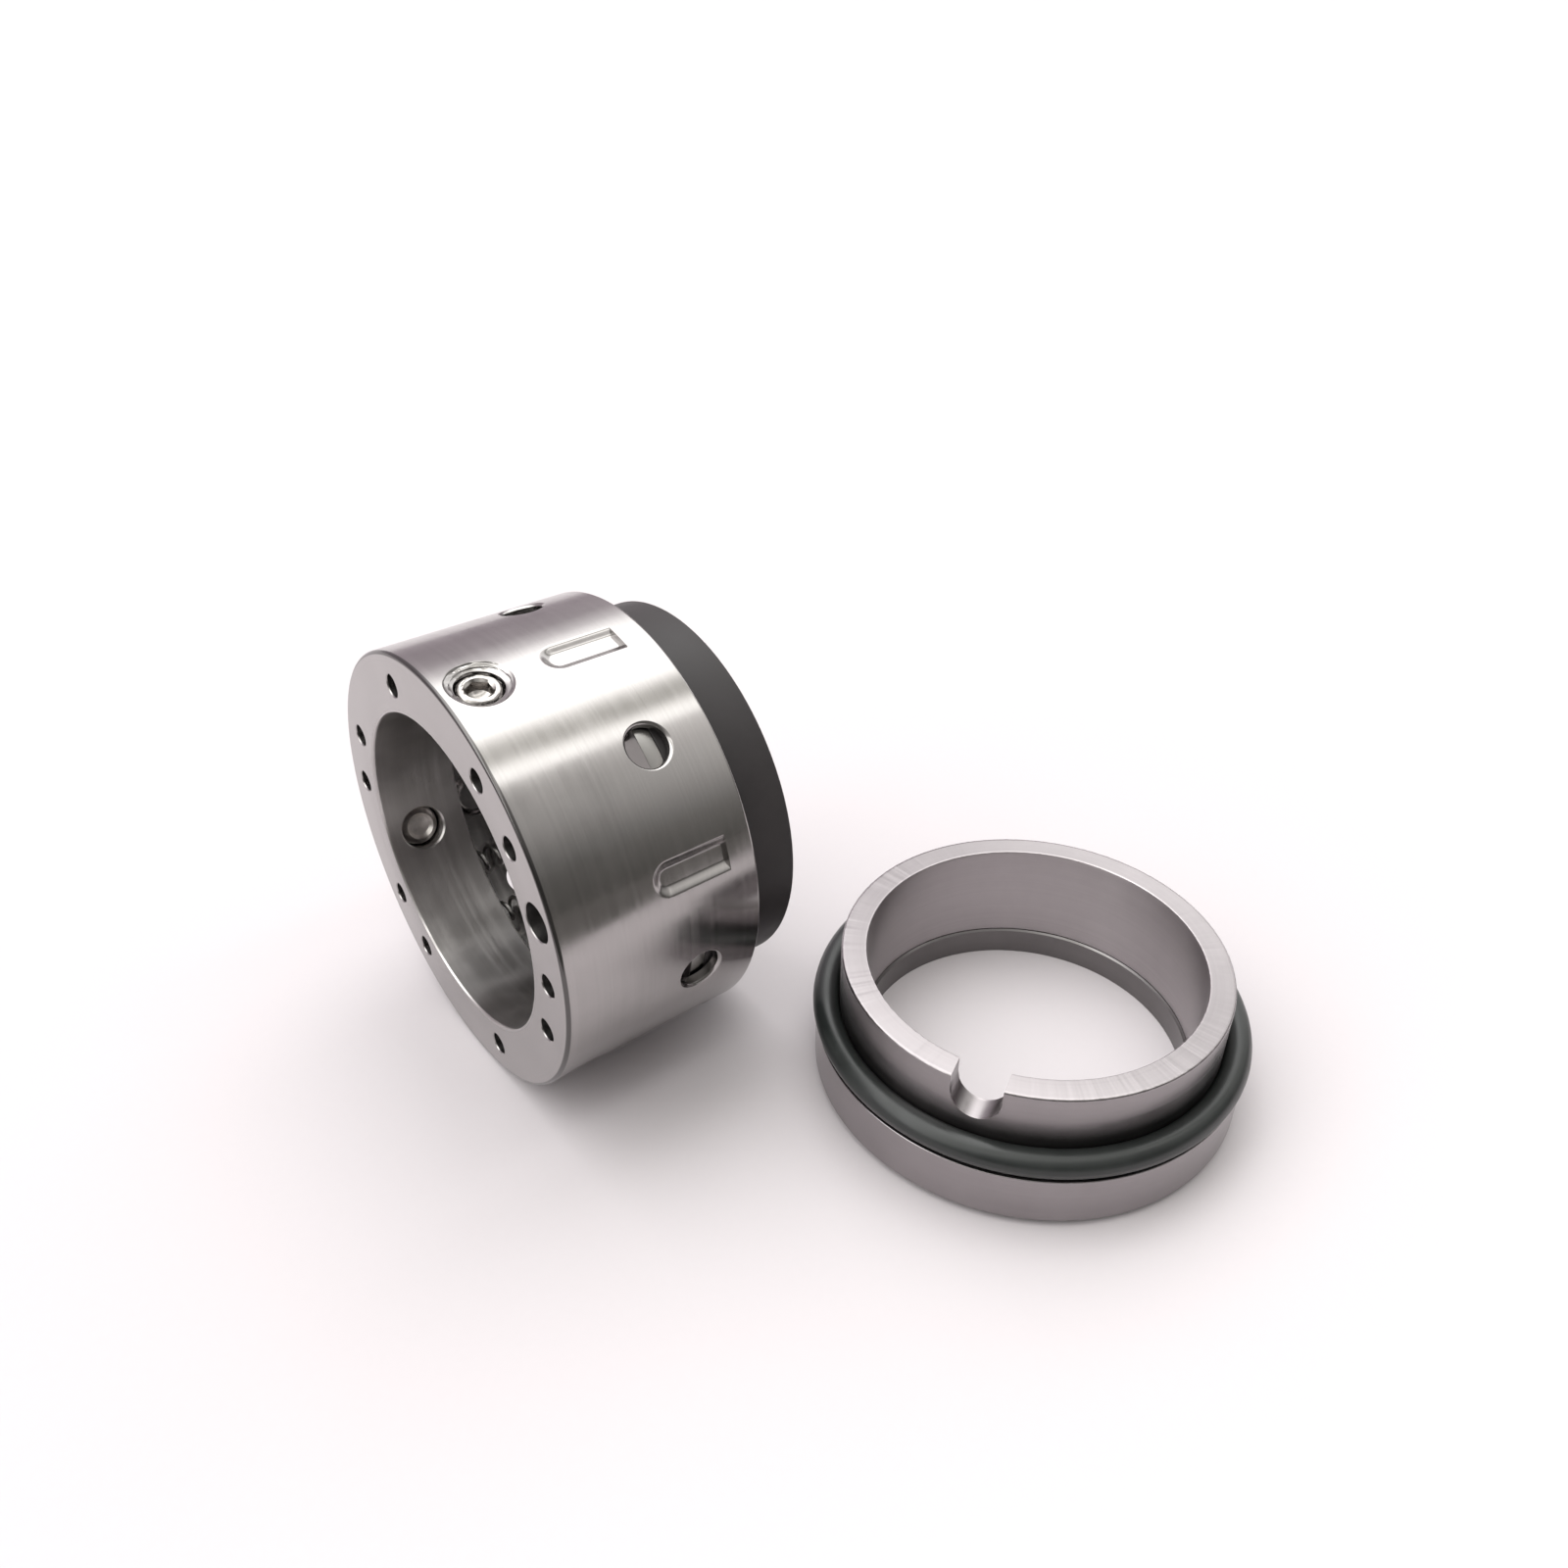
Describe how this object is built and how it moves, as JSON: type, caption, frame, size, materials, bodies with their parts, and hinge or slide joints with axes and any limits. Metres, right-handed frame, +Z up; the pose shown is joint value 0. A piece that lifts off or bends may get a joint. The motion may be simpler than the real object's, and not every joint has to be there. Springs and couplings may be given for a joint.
{
  "type": "mechanical seal",
  "caption": "Multi-spring pusher mechanical seal: steel rotary unit with a sprung dark face ring on its side, beside the stationary seat ring with its O-ring and pin notch.",
  "frame": {"origin": "centre of the rotary unit's rear face, on the shaft axis", "axes": "+X along the shaft from the rear face towards the seal face, +Z up, with the unit on its side and the seat lying flat on the same surface"},
  "size_m": [0.0871, 0.1072, 0.059],
  "materials": {
    "turned_steel": "fine turned and polished stainless steel",
    "seat_steel": "fine turned stainless steel",
    "ring_steel": "ground stainless steel",
    "wire_steel": "drawn spring wire",
    "screw_steel": "plain stainless steel",
    "carbon": "fine ground dark seal ring, soft sheen",
    "hard_face": "lapped grey hard face",
    "rubber": "moulded black rubber, soft sheen"
  },
  "bodies": {
    "fixed": {"retainer": "turned_steel", "snap_ring": "wire_steel", "seat_body": "seat_steel", "seat_insert": "hard_face", "seat_o_ring": "rubber", "spring_01": "wire_steel", "spring_02": "wire_steel", "spring_03": "wire_steel", "spring_04": "wire_steel", "spring_05": "wire_steel", "spring_06": "wire_steel", "spring_07": "wire_steel", "spring_08": "wire_steel", "spring_09": "wire_steel", "spring_10": "wire_steel"},
    "face_unit": {"face_ring": "carbon", "thrust_ring": "ring_steel", "shaft_o_ring": "rubber"},
    "screw_1": {"set_screw_1": "screw_steel"},
    "screw_2": {"set_screw_2": "screw_steel"},
    "screw_3": {"set_screw_3": "screw_steel"}
  },
  "joints": [
    {"name": "face_slide", "type": "slide", "parent": "fixed", "child": "face_unit", "axis": [-1, 0, 0], "range_m": [0, 0.0065], "stiffness_N_per_m": 6000, "springref_m": -0.0005, "deforming": ["spring_01", "spring_02", "spring_03", "spring_04", "spring_05", "spring_06", "spring_07", "spring_08", "spring_09", "spring_10"]},
    {"name": "screw_feed_1", "type": "slide", "parent": "fixed", "child": "screw_1", "axis": [0, 0.2079, -0.9781], "range_m": [-0.0009, 0.00105]},
    {"name": "screw_feed_2", "type": "slide", "parent": "fixed", "child": "screw_2", "axis": [0, 0.7431, 0.6691], "range_m": [-0.0009, 0.00105]},
    {"name": "screw_feed_3", "type": "slide", "parent": "fixed", "child": "screw_3", "axis": [0, -0.9511, 0.309], "range_m": [-0.0009, 0.00105]}
  ]
}
